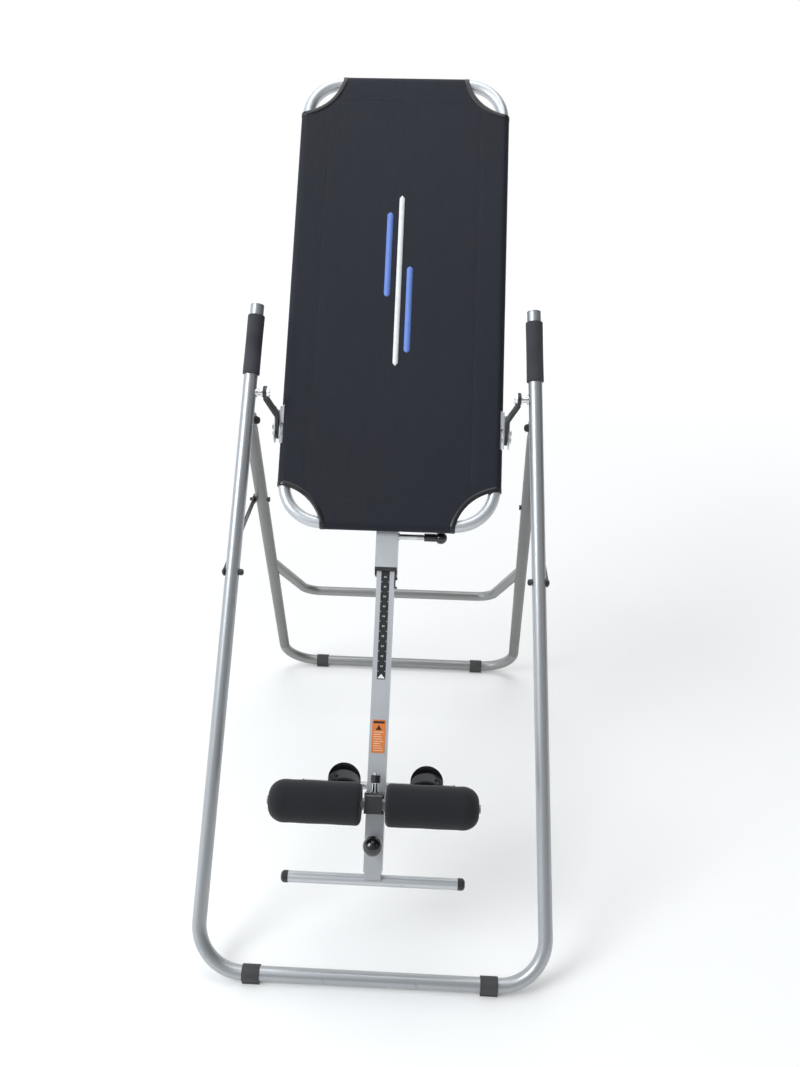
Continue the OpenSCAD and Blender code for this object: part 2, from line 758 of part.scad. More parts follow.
// Square socket on the front of the boom, which the roller slider runs in
module ankle_sleeve() {
    hole = slider_w + 0.4;
    color([0.3, 0.3, 0.31]) bed_frame() difference() {
        translate([0, clamp_front, -ankle_z]) rotate([-90, 0, 0])
            box_pipe(boom_front - clamp_front - 0.1, clamp_w, (clamp_w - hole) / 2);
        translate([0, ankle_pin_y, -ankle_z]) cylinder(h = clamp_w, d = pin_d + 2 * fit);
    }
}

module ankle_pin_frame() {
    bed_frame() translate([0, ankle_pin_y, clamp_w / 2 - ankle_z]) children();
}

module ankle_pin_barrel() {
    color([0.8, 0.8, 0.82]) ankle_pin_frame() translate([0, 0, 0.05])
        pin_barrel(short_pin_len, 13, 2.5, 10.4, 18);
}

module ankle_pin() {
    color([0.8, 0.8, 0.82]) ankle_pin_frame() {
        plunger(slider_w / 2 - clamp_w / 2 + gap, 7.6, 34, 10.4);
        translate([0, 0, 33]) cylinder(h = 4, d = 8);
    }
}

// Grooved nut on the clamp's pin
module ankle_pin_knob() {
    color([0.06, 0.06, 0.06]) ankle_pin_frame() difference() {
        union() {
            translate([0, 0, 18.4]) cylinder(h = 14, d = 17);
            for (z = [18.4, 23.4, 28.4]) translate([0, 0, z]) cylinder(h = 3.4, d = 19);
        }
        translate([0, 0, 17]) cylinder(h = 6.6, d = 13.6);
        translate([0, 0, 20]) cylinder(h = 20, d = rod_d + 0.02);
    }
}

module ankle_pin_spring() {
    color([0.6, 0.6, 0.6]) ankle_pin_frame() coil(9.2, 13.8, 7.8, 0.8, 3);
}

// Round bar behind the boom with the stem that carries it
module heel_bar() {
    color([0.72, 0.73, 0.75]) bed_frame() {
        difference() {
            translate([0, boom_y + boom_w / 2 + 0.1, -heel_z]) rotate([-90, 0, 0])
                box_pipe(heel_y - boom_y - boom_w / 2, 25, 2);
            translate([0, heel_y, -heel_z]) rod_x(-50, 50, 16);
        }
        translate([0, heel_y, -heel_z]) cross_pipe(304, 16, 2);
    }
}

module heel_bar_caps() {
    color([0.08, 0.08, 0.08]) bed_frame() translate([0, heel_y, -heel_z]) both_sides() {
        rod_x(145, 152.1, 12 - 2 * fit);
        rod_x(152.1, 155, 17);
    }
}

// Bowl-shaped cup that turns on the heel bar
module heel_cup() {
    inner = 52;
    wall = 3;
    half_h = 46;
    bowl_y = -9 - inner - wall;
    difference() {
        union() {
            intersection() {
                translate([0, bowl_y, 0]) difference() {
                    sphere(r = inner + wall, $fn = 96);
                    sphere(r = inner, $fn = 96);
                }
                rotate([90, 0, 0]) linear_extrude(inner) {
                    for (z = [-1, 1]) translate([0, z * (half_h - cup_w / 2)])
                        circle(d = cup_w);
                    translate([-cup_w / 2, cup_w / 2 - half_h])
                        square([cup_w, 2 * half_h - cup_w]);
                }
            }
            difference() {
                rod_x(-18, 18, 24);
                translate([0, bowl_y, 0]) sphere(r = inner + wall - 0.5, $fn = 96);
            }
        }
        rod_x(-30, 30, 16 + 2 * fit);
    }
}

module heel_cup_left() {
    color([0.04, 0.04, 0.04]) bed_frame() translate([-68, heel_y, -heel_z]) heel_cup();
}

module heel_cup_right() {
    color([0.04, 0.04, 0.04]) bed_frame() translate([98, heel_y, -heel_z]) heel_cup();
}

// ---- roller slider ----

module ankle_slider() {
    color([0.45, 0.45, 0.46]) bed_frame() difference() {
        translate([0, -14, -ankle_z]) rotate([-90, 0, 0]) box_pipe(112, slider_w, 2);
        translate([0, 0, -ankle_z]) rod_x(-slider_w, slider_w, axle_d + 2 * fit);
        for (i = [0 : 2]) translate([0, ankle_pin_y + i * hole_step, -ankle_z])
            cylinder(h = slider_w, d = pin_d + 1);
    }
}

module slider_cap() {
    plug = slider_w - 4.1;
    color([0.1, 0.1, 0.1]) bed_frame() translate([0, 0, -ankle_z]) {
        translate([-slider_w / 2, -17, -slider_w / 2]) cube([slider_w, 2.9, slider_w]);
        translate([-plug / 2, -15, -plug / 2]) cube([plug, 8, plug]);
    }
}

module roller_axle() {
    color([0.75, 0.75, 0.77]) bed_frame() translate([0, 0, -ankle_z])
        rod_x(-roller_end - 1.8, roller_end + 1.8, axle_d);
}

// Nuts beside the slider and end caps outside the rollers
module axle_nuts() {
    color([0.3, 0.3, 0.3]) bed_frame() translate([0, 0, -ankle_z]) both_sides() {
        difference() {
            translate([slider_w / 2 + 0.1, 0, 0]) rotate([0, 90, 0]) hex(19, 6);
            rod_x(0, 40, axle_d + 2 * fit);
        }
        difference() {
            rod_x(roller_end + 0.4, roller_end + 3, 16);
            rod_x(roller_end - 5, roller_end + 1.9, axle_d + 2 * fit);
        }
    }
}

// Foam roller with rounded ends
module roller() {
    color([0.07, 0.07, 0.08]) bed_frame() translate([23, 0, -ankle_z]) rotate([0, 90, 0])
        round_drum(roller_end - 23, roller_d, 14, axle_d + 0.16, 6);
}

module roller_left() { side(-1) roller(); }
module roller_right() { side(1) roller(); }

// ---- footrest ----

module footrest() {
    color([0.75, 0.77, 0.79]) boom_frame() {
        difference() {
            translate([0, 0, -rest_z + 3]) box_pipe(rest_z - stem_top - 3, stem_w, tube_wall);
            translate([0, 0, -rest_z]) rod_x(-40, 40, rest_d);
            for (i = [0 : rest_hole_n - 1]) translate([0, 0, i * hole_step - rest_pin_z])
                rotate([90, 0, 0]) cylinder(h = stem_w, d = pin_d + 1);
        }
        translate([0, 0, -rest_z]) cross_pipe(2 * rest_half - 28, rest_d, tube_wall);
    }
}

module footrest_caps() {
    color([0.08, 0.08, 0.08]) boom_frame() translate([0, 0, -rest_z]) both_sides() {
        translate([rest_half - 26, 0, 0])
            rod_x(0, 12.1, rest_d - 2 * tube_wall - 2 * fit);
        translate([rest_half - 13.95, 0, 0]) rotate([0, 90, 0])
            cylinder(h = 9, d = rest_d + 1);
        translate([rest_half - 4.95, 0, 0]) rotate([0, 90, 0]) {
            cylinder(h = 3, d1 = rest_d + 1, d2 = rest_d - 3);
            translate([0, 0, 3]) cylinder(h = 1.9, d1 = rest_d - 3, d2 = rest_d - 10);
        }
    }
}

module footrest_pin_frame() {
    bed_frame() translate([0, boom_front, -rest_pin_z]) rotate([90, 0, 0]) children();
}

module footrest_pin_barrel() {
    color([0.8, 0.8, 0.82]) footrest_pin_frame() translate([0, 0, 0.05])
        pin_barrel(short_pin_len, 15, 2.5, 10.4, 20);
}

module footrest_pin() {
    color([0.7, 0.7, 0.72]) footrest_pin_frame()
        plunger(stem_w / 2 - boom_w / 2 + gap, 7.6, 32, 10.4);
}

module footrest_pin_knob() {
    color([0.04, 0.04, 0.04]) footrest_pin_frame() difference() {
        translate([0, 0, 36.5]) sphere(d = 38);
        translate([0, 0, 10]) cylinder(h = 13.5, d = 16);
        translate([0, 0, 20]) cylinder(h = 12.2, d = rod_d + 0.02);
    }
}

module footrest_pin_spring() {
    color([0.6, 0.6, 0.6]) footrest_pin_frame() coil(9.2, 13.8, 7.8, 0.8, 3);
}

front_floor_tube();
upright_left();
upright_right();
upright_caps();
handle_grips();
front_feet();
pivot_pins();
apex_brackets();
frame_bolts();
cap_nuts();
lock_arm_left();
lock_arm_right();
rear_floor_tube();
rear_leg_left();
rear_leg_right();
rear_crossbar();
rear_feet();
arm_studs();
bed_side_left();
bed_side_right();
bed_head_tube();
bed_foot_tube();
bed_brace();
boom_sleeve();
sleeve_bushing();
stop_clip();
cover();
hinge_brackets();
hinge_arm_left();
hinge_arm_right();
pivot_bushes();
hinge_bolts();
boom_pin_barrel();
boom_pin();
boom_pin_knob();
boom_pin_spring();
boom();
boom_labels();
ankle_sleeve();
ankle_pin_barrel();
heel_bar();
heel_bar_caps();
footrest_pin_barrel();
ankle_pin();
ankle_pin_knob();
ankle_pin_spring();
heel_cup_left();
heel_cup_right();
ankle_slider();
slider_cap();
roller_axle();
axle_nuts();
roller_left();
roller_right();
footrest();
footrest_caps();
footrest_pin();
footrest_pin_knob();
footrest_pin_spring();
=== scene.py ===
# Looks of a folding inversion table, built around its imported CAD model. All lengths are in metres.

import json
import math

import bmesh
import bpy
import numpy as np
from mathutils import Euler, Matrix, Vector, noise


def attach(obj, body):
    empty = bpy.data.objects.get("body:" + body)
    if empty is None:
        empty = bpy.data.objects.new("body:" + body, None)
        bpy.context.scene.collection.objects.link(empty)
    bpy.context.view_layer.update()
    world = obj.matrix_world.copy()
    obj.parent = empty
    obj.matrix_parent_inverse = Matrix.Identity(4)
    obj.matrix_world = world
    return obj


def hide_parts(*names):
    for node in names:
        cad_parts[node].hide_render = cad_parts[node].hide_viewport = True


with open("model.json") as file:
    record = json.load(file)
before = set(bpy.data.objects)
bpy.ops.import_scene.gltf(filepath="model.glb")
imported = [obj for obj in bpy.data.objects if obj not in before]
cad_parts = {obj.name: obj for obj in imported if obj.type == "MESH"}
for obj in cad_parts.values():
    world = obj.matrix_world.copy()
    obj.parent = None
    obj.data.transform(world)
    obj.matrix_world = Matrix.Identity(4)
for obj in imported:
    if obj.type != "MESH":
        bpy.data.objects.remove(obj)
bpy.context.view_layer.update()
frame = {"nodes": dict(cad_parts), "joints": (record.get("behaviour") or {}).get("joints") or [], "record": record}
NODES = frame["nodes"]
SLOT_OF = {s["node"]: s["material_slot"] for s in frame["record"]["subparts"]}
MM = 0.001


# ---- camera ----

CAMERA_AT = (0.1015, -1.8831, 1.5708)
CAMERA_TURN = (65.41, -0.84, 2.83)  # degrees about x, y and z
FOCAL_LENGTH = 32.05  # millimetres, on a 36 mm sensor along the picture's height


def make_camera():
    data = bpy.data.cameras.new("camera")
    data.sensor_width = 36
    data.lens = FOCAL_LENGTH
    camera = bpy.data.objects.new("camera", data)
    camera.location = CAMERA_AT
    camera.rotation_euler = Euler([math.radians(a) for a in CAMERA_TURN])
    bpy.context.scene.collection.objects.link(camera)
    bpy.context.scene.camera = camera


make_camera()


# ---- the bed's own frame: x across, y towards its back, z towards its head ----

def joint(name):
    return next(j for j in frame["joints"] if j["name"] == name)


PIVOT = Vector(joint("table_tilt")["pos_m"])
BED_Z = Vector(joint("boom_slide")["axis"]).normalized()
BED_X = Vector((1, 0, 0))
BED_Y = BED_Z.cross(BED_X)
BED = Matrix.Translation(PIVOT) @ Matrix((BED_X, BED_Y, BED_Z)).transposed().to_4x4()
BED_LEAN = math.atan2(BED_Z.y, BED_Z.z)
TO_BED = BED.inverted()


def bed_box(node):
    """Lowest and highest corners of a CAD node, in the bed's frame."""
    points = np.array([TO_BED @ v.co for v in NODES[node].data.vertices])
    return Vector(points.min(0)), Vector(points.max(0))


SIDE_LO, SIDE_HI = bed_box("bed_side_right")
BED_R = (SIDE_HI.y - SIDE_LO.y) / 2
TUBE_X = (SIDE_LO.x + SIDE_HI.x) / 2
TUBE_Y = (SIDE_LO.y + SIDE_HI.y) / 2
HEAD_Z = bed_box("bed_head_tube")[1].z - BED_R
FOOT_Z = bed_box("bed_foot_tube")[0].z + BED_R


# ---- meshes ----

def add_object(name, mesh, body, material):
    piece = bpy.data.objects.new(name, mesh)
    bpy.context.scene.collection.objects.link(piece)
    if material is not None:
        mesh.materials.append(material)
    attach(piece, body)
    return piece


def mesh_from(name, bm, smooth=True):
    bmesh.ops.recalc_face_normals(bm, faces=bm.faces)
    for face in bm.faces:
        face.smooth = smooth
    mesh = bpy.data.meshes.new(name)
    bm.to_mesh(mesh)
    bm.free()
    return mesh


def add_tube(bm, loops, closed):
    """Skins point loops of one size. Closed joins the last to the first; otherwise both ends are capped."""
    rings = [[bm.verts.new(p) for p in loop] for loop in loops]
    pairs = list(zip(rings, rings[1:]))
    if closed:
        pairs.append((rings[-1], rings[0]))
    for a, b in pairs:
        for i in range(len(a)):
            j = (i + 1) % len(a)
            bm.faces.new((a[i], a[j], b[j], b[i]))
    if not closed:
        bm.faces.new(reversed(rings[0]))
        bm.faces.new(rings[-1])


def add_lathe(bm, profile, centre, axis, turns=64):
    """Turns a closed profile of (distance along the axis, radius) about an axis."""
    axis = Vector(axis).normalized()
    across = axis.orthogonal().normalized()
    other = axis.cross(across)
    loops = []
    for i in range(turns):
        angle = math.tau * i / turns
        out = across * math.cos(angle) + other * math.sin(angle)
        loops.append([centre + axis * along + out * radius for along, radius in profile])
    add_tube(bm, loops, closed=True)


def quarter(centre, size, start, steps=8):
    """Points of a quarter of an ellipse, from an angle in degrees, turning clockwise."""
    points = []
    for i in range(steps + 1):
        angle = math.radians(start - 90 * i / steps)
        points.append((centre[0] + size[0] * math.cos(angle), centre[1] + size[1] * math.sin(angle)))
    return points


def spread(breaks, step):
    """Numbers that run through all breaks, no further apart than step."""
    values = [breaks[0]]
    for a, b in zip(breaks, breaks[1:]):
        count = max(1, math.ceil(abs(b - a) / step))
        values += [a + (b - a) * (i + 1) / count for i in range(count)]
    return values


# ---- materials ----

class Surface:
    """A material under construction. Its texture coordinates are the object's own, in metres."""

    def __init__(self, name, colour, metallic, roughness, lean=False):
        self.material = bpy.data.materials.new(name)
        self.material.use_nodes = True
        self.tree = self.material.node_tree
        self.shader = self.tree.nodes["Principled BSDF"]
        self.shader.inputs["Base Color"].default_value = (*colour, 1)
        self.shader.inputs["Metallic"].default_value = metallic
        self.shader.inputs["Roughness"].default_value = roughness
        self.colour = colour
        self.place = self.node("ShaderNodeTexCoord").outputs["Object"]
        if lean:
            turned = self.node("ShaderNodeMapping")
            turned.inputs["Rotation"].default_value = (BED_LEAN, 0, 0)
            offset = Matrix.Rotation(BED_LEAN, 3, "X") @ PIVOT
            turned.inputs["Location"].default_value = -offset
            self.tree.links.new(self.place, turned.inputs["Vector"])
            self.place = turned.outputs["Vector"]

    def node(self, kind, **settings):
        made = self.tree.nodes.new(kind)
        for key, value in settings.items():
            setattr(made, key, value)
        return made

    def link(self, source, target):
        self.tree.links.new(source, target)

    def math(self, operation, a, b=None):
        made = self.node("ShaderNodeMath", operation=operation)
        for socket, value in zip(made.inputs, (a, b)):
            if isinstance(value, (int, float)):
                socket.default_value = value
            elif value is not None:
                self.link(value, socket)
        return made.outputs["Value"]

    def noise(self, scale, detail=2.0, stretch=(1, 1, 1)):
        placed = self.node("ShaderNodeMapping")
        placed.inputs["Scale"].default_value = stretch
        self.link(self.place, placed.inputs["Vector"])
        made = self.node("ShaderNodeTexNoise")
        made.inputs["Scale"].default_value = scale
        made.inputs["Detail"].default_value = detail
        self.link(placed.outputs["Vector"], made.inputs["Vector"])
        return made.outputs["Fac"]

    def cells(self, scale):
        made = self.node("ShaderNodeTexVoronoi")
        made.inputs["Scale"].default_value = scale
        self.link(self.place, made.inputs["Vector"])
        return made.outputs["Distance"]

    def band(self, value, low, high, low_out=0.0, high_out=1.0):
        made = self.node("ShaderNodeMapRange")
        for key, number in (("From Min", low), ("From Max", high), ("To Min", low_out), ("To Max", high_out)):
            made.inputs[key].default_value = number
        self.link(value, made.inputs["Value"])
        return made.outputs["Result"]

    def mix(self, factor, a, b):
        made = self.node("ShaderNodeMix", data_type="RGBA")
        self.link(factor, made.inputs["Factor"])
        for socket, value in ((made.inputs[6], a), (made.inputs[7], b)):
            if isinstance(value, tuple):
                socket.default_value = (*value, 1)
            else:
                self.link(value, socket)
        return made.outputs[2]

    def paint(self, colour):
        self.link(colour, self.shader.inputs["Base Color"])

    def rough(self, value):
        self.link(value, self.shader.inputs["Roughness"])

    def bump(self, height, distance, strength=1.0, under=None):
        made = self.node("ShaderNodeBump")
        made.inputs["Strength"].default_value = strength
        made.inputs["Distance"].default_value = distance
        self.link(height, made.inputs["Height"])
        if under is not None:
            self.link(under, made.inputs["Normal"])
        self.link(made.outputs["Normal"], self.shader.inputs["Normal"])
        return made.outputs["Normal"]

    def set(self, **values):
        for key, value in values.items():
            self.shader.inputs[key.replace("_", " ")].default_value = value


def tint(colour, factor):
    return tuple(c * factor for c in colour)


def powder_coat(name, colour, metallic=0.75, roughness=0.36):
    """Silver coat with fine speckle, orange peel, soft mottling and a few dull scuffs."""
    s = Surface(name, colour, metallic, roughness)
    speckle = s.band(s.noise(1500, 1), 0.35, 0.65)
    mottle = s.band(s.noise(9, 3), 0.3, 0.7)
    scuff = s.band(s.noise(38, 6, (1, 1, 0.35)), 0.66, 0.74)
    coat = s.mix(speckle, tint(colour, 0.93), tint(colour, 1.05))
    coat = s.mix(s.math("MULTIPLY", mottle, 0.35), coat, tint(colour, 0.84))
    coat = s.mix(s.math("MULTIPLY", scuff, 0.4), coat, tint(colour, 0.62))
    s.paint(coat)
    uneven = s.band(mottle, 0, 1, roughness - 0.04, roughness + 0.06)
    s.rough(s.math("ADD", uneven, s.math("MULTIPLY", scuff, 0.18)))
    peel = s.bump(s.noise(420, 1), 0.00012, 0.5)
    s.bump(s.noise(1700, 1), 0.00006, 0.5, peel)
    return s.material


def dark_coat(name, colour, roughness=0.42, worn=(0.32, 0.32, 0.32)):
    """Black or dark grey coat on steel, with small chips."""
    s = Surface(name, colour, 0.0, roughness)
    chips = s.band(s.noise(260, 5), 0.72, 0.76)
    mottle = s.band(s.noise(24, 3), 0.3, 0.7)
    coat = s.mix(mottle, colour, tint(colour, 1.5))
    s.paint(s.mix(chips, coat, worn))
    s.rough(s.band(mottle, 0, 1, roughness - 0.07, roughness + 0.1))
    s.bump(s.noise(700, 2), 0.0001, 0.5)
    return s.material


def plated(name, colour, roughness, grain=(1, 1, 1), scale=300):
    """Plated or turned steel, with fine marks that run with the grain."""
    s = Surface(name, colour, 1.0, roughness)
    marks = s.noise(scale, 4, grain)
    haze = s.band(s.noise(40, 3), 0.35, 0.7)
    s.paint(s.mix(haze, tint(colour, 1.05), tint(colour, 0.8)))
    uneven = s.band(haze, 0, 1, roughness * 0.8, roughness * 1.3)
    s.rough(s.math("ADD", uneven, s.band(marks, 0.4, 0.7, 0, 0.08)))
    s.bump(marks, 0.00004, 0.5)
    return s.material


def moulded(name, colour, roughness, grain=900, depth=0.00008, coat=0.0):
    """Moulded plastic or rubber with a fine grain and a dusting of handling marks."""
    s = Surface(name, colour, 0.0, roughness)
    smear = s.band(s.noise(30, 4), 0.35, 0.7)
    s.paint(s.mix(smear, tint(colour, 0.85), tint(colour, 1.35)))
    s.rough(s.band(smear, 0, 1, roughness - min(0.06, roughness / 2), roughness + 0.07))
    s.bump(s.noise(grain, 2), depth, 0.6)
    s.set(Coat_Weight=coat, Coat_Roughness=0.06)
    return s.material


def foam(name, colour, pore=1100):
    """Closed-cell foam: matt, pitted, with painted shade in its pits, a little paler where it is rubbed."""
    s = Surface(name, colour, 0.0, 0.86)
    pits = s.cells(pore)
    cloud = s.band(s.noise(16, 4), 0.3, 0.72)
    worn = s.mix(cloud, tint(colour, 0.85), tint(colour, 1.5))
    # painted shade: the pits, which the bump below sinks, are painted darker for the shade inside them
    s.paint(s.mix(s.band(pits, 0.0, 0.35), tint(colour, 0.45), worn))
    s.rough(s.band(cloud, 0, 1, 0.8, 0.92))
    skin = s.bump(s.noise(90, 3), 0.0006, 0.35)
    s.bump(pits, 0.00035, 0.7, skin)
    s.set(Sheen_Weight=0.1, Sheen_Roughness=0.5, Specular_IOR_Level=0.3)
    return s.material


def woven(name, colour, pitch=0.9 * MM):
    """Plain-weave nylon in the bed's frame, with slubs, painted shade between its threads and a soft sheen."""
    s = Surface(name, colour, 0.0, 0.62, lean=True)
    axes = s.node("ShaderNodeSeparateXYZ")
    s.link(s.place, axes.inputs["Vector"])
    across = s.math("MULTIPLY", axes.outputs["X"], math.pi / pitch)
    along = s.math("MULTIPLY", s.math("ADD", axes.outputs["Z"], axes.outputs["Y"]), math.pi / pitch)
    warp = s.math("ABSOLUTE", s.math("SINE", across))
    weft = s.math("ABSOLUTE", s.math("SINE", along))
    over = s.math("GREATER_THAN", s.math("MULTIPLY", s.math("SINE", across), s.math("SINE", along)), 0)
    warp_up = s.math("MULTIPLY", warp, over)
    weft_up = s.math("MULTIPLY", weft, s.math("SUBTRACT", 1, over))
    thread = s.math("ADD", warp_up, weft_up)
    slub = s.band(s.noise(220, 3, (1, 1, 0.12)), 0.3, 0.7)
    fade = s.band(s.noise(3.5, 2), 0.3, 0.7)
    # painted shade and highlight: the gaps between threads are darker and the raised thread crowns lighter
    cloth = s.mix(s.band(thread, 0, 1), tint(colour, 0.55), tint(colour, 1.2))
    cloth = s.mix(s.math("MULTIPLY", slub, 0.3), cloth, tint(colour, 1.5))
    faded = tuple(c * k for c, k in zip(colour, (0.95, 0.85, 0.72)))
    s.paint(s.mix(s.math("MULTIPLY", fade, 0.5), cloth, faded))
    s.rough(s.band(slub, 0, 1, 0.55, 0.7))
    s.bump(thread, 0.00016, 0.5)
    s.set(Sheen_Weight=0.05, Sheen_Roughness=0.35, Specular_IOR_Level=0.22)
    return s.material


def printed(name, colour, roughness=0.42):
    """Printed film or ink, slightly uneven."""
    s = Surface(name, colour, 0.0, roughness)
    uneven = s.band(s.noise(120, 4), 0.3, 0.7)
    s.paint(s.mix(uneven, tint(colour, 0.9), tint(colour, 1.04)))
    s.rough(s.band(uneven, 0, 1, roughness - 0.05, roughness + 0.08))
    s.bump(s.noise(600, 2), 0.00004, 0.5)
    return s.material


SILVER = (0.45, 0.468, 0.485)
MATERIALS = {
    "silver_frame": powder_coat("silver_frame", SILVER),
    # painted shade: the rear frame's silver is darker than the front frame's, for the shade it stands in
    "silver_rear": powder_coat("silver_rear", (0.33, 0.335, 0.33), 0.75, 0.4),
    "silver_bed": powder_coat("silver_bed", tint(SILVER, 1.32), 0.7, 0.37),
    "grip_foam": foam("grip_foam", (0.037, 0.038, 0.045), 900),
    "foot_rubber": moulded("foot_rubber", (0.045, 0.045, 0.045), 0.7, 700, 0.00012),
    "bright_steel": plated("bright_steel", (0.8, 0.81, 0.83), 0.12),
    "pin_steel": plated("pin_steel", (0.62, 0.62, 0.63), 0.28),
    "nut_steel": plated("nut_steel", (0.3, 0.3, 0.31), 0.35),
    "dark_bracket": dark_coat("dark_bracket", (0.06, 0.06, 0.065)),
    "slider_metal": dark_coat("slider_metal", (0.1, 0.1, 0.105), 0.4, (0.5, 0.5, 0.5)),
    "black_steel": dark_coat("black_steel", (0.018, 0.018, 0.02), 0.35),
    "black_plastic": moulded("black_plastic", (0.02, 0.02, 0.022), 0.42),
    "black_gloss": moulded("black_gloss", (0.008, 0.008, 0.009), 0.1, 500, 0.00002, 0.6),
    "cover_fabric": woven("cover_fabric", (0.0125, 0.0142, 0.0235)),
    "roller_foam": foam("roller_foam", (0.0105, 0.011, 0.0135)),
    "label_print": printed("label_print", (0.012, 0.012, 0.013)),
}
BINDING_TAPE = moulded("binding_tape", (0.008, 0.008, 0.01), 0.3, 1200, 0.00012)
THREAD = moulded("thread", (0.03, 0.03, 0.036), 0.55, 2500, 0.00008)
WHITE_INK = printed("white_ink", (0.75, 0.77, 0.78))
PALE_INK = printed("pale_ink", (0.82, 0.62, 0.45))
BLUE_INK = printed("blue_ink", (0.12, 0.22, 0.6))
ORANGE_FILM = printed("orange_film", (0.75, 0.2, 0.035))

LEG_PAINTED_SHADE = powder_coat("silver_leg_painted_shade", (0.23, 0.23, 0.225), 0.7, 0.42)  # painted shade: a darker silver for the rear legs, standing for the shade they stand in

# the rear legs take the darker silver of painted shade; every other node takes its slot's material
for node, slot in SLOT_OF.items():
    for place in NODES[node].material_slots:
        place.material = LEG_PAINTED_SHADE if node.startswith("rear_leg") else MATERIALS[slot]


# ---- cover: a sling stretched over the bed's four tubes ----

CLOTH = 1.3 * MM  # thickness
WRAP_R = BED_R + 0.3 * MM + CLOTH / 2  # cloth's middle round a tube
FRONT_Y = TUBE_Y - WRAP_R
POCKET = 48 * MM  # from a tube to the seam that closes its pocket
SEAM_GAP = CLOTH + 0.1 * MM
FOOT_CUT = (137 * MM, -184 * MM)  # where the corner cuts start, on an end tube and on a side tube
HEAD_CUT = (139 * MM, 668 * MM)
CUT_BOW = 15 * MM  # how far a cut edge curves into the cloth
SAG = 3.5 * MM
GRID = 5 * MM  # between points of the cloth's mesh
BRACKET_FROM, SLEEVE_FROM, BRACE_FROM = -53, 20, 34  # degrees round a tube where each opening starts


def tangent_angle():
    """Angle round a tube, from the outside, at which the cloth leaves it for its seam."""
    across, depth = -POCKET, SEAM_GAP - WRAP_R
    return math.atan2(depth, across) + math.tau - math.acos(WRAP_R / math.hypot(across, depth))


LEAVE = tangent_angle()


def pocket_path():
    """Points (outward from the tube's centre, depth from it) round a tube and on to the seam."""
    openings = [math.radians(a) for a in (BRACKET_FROM, SLEEVE_FROM, BRACE_FROM)]
    turn = spread([-math.pi / 2, *openings, LEAVE], math.radians(12))
    points = [(WRAP_R * math.cos(a), WRAP_R * math.sin(a)) for a in turn]
    start = Vector(points[-1])
    end = Vector((-POCKET, SEAM_GAP - WRAP_R))
    flat = [tuple(start.lerp(end, (i + 1) / 8)) for i in range(8)]
    return points[1:] + flat, len(turn) - 1


def cut_edge(side_at, end_at, t):
    """A point (x, z) on a cut corner, from the side tube at 0 to the end tube at 1."""
    start = Vector((TUBE_X, side_at))
    end = Vector(end_at)
    chord = end - start
    inward = Vector((-abs(chord.y), math.copysign(abs(chord.x), -chord.y))).normalized()
    return start + chord * t + inward * CUT_BOW * 4 * t * (1 - t)


def foot_edge(t):
    return cut_edge(FOOT_CUT[1], (FOOT_CUT[0], FOOT_Z), t)


def head_edge(t):
    return cut_edge(HEAD_CUT[1], (HEAD_CUT[0], HEAD_Z), t)


def ripple(x, z):
    """Depth of the sling behind the tubes' front, from its sag, slack and puckered seams."""
    across = 1 - min(1, abs(x) / TUBE_X) ** 2
    middle = (HEAD_Z + FOOT_Z) / 2
    along = 1 - min(1, abs(z - middle) / (HEAD_Z - middle)) ** 4
    slack = noise.noise(Vector((x * 7, z * 3.1, 0.7))) * 1.6 * MM
    slack += noise.noise(Vector((x * 19, z * 6, 5.2))) * 0.5 * MM
    seam = max(0.0, 1 - abs(abs(x) - (TUBE_X - POCKET)) / (9 * MM))
    pucker = seam * (0.35 + 0.25 * math.sin(z * math.tau / (13 * MM) + 3 * x)) * MM
    return across * along * (SAG + slack) + pucker


def front_point(x, z, lift=0.0):
    return Vector((x, FRONT_Y - lift + ripple(x, z), z))


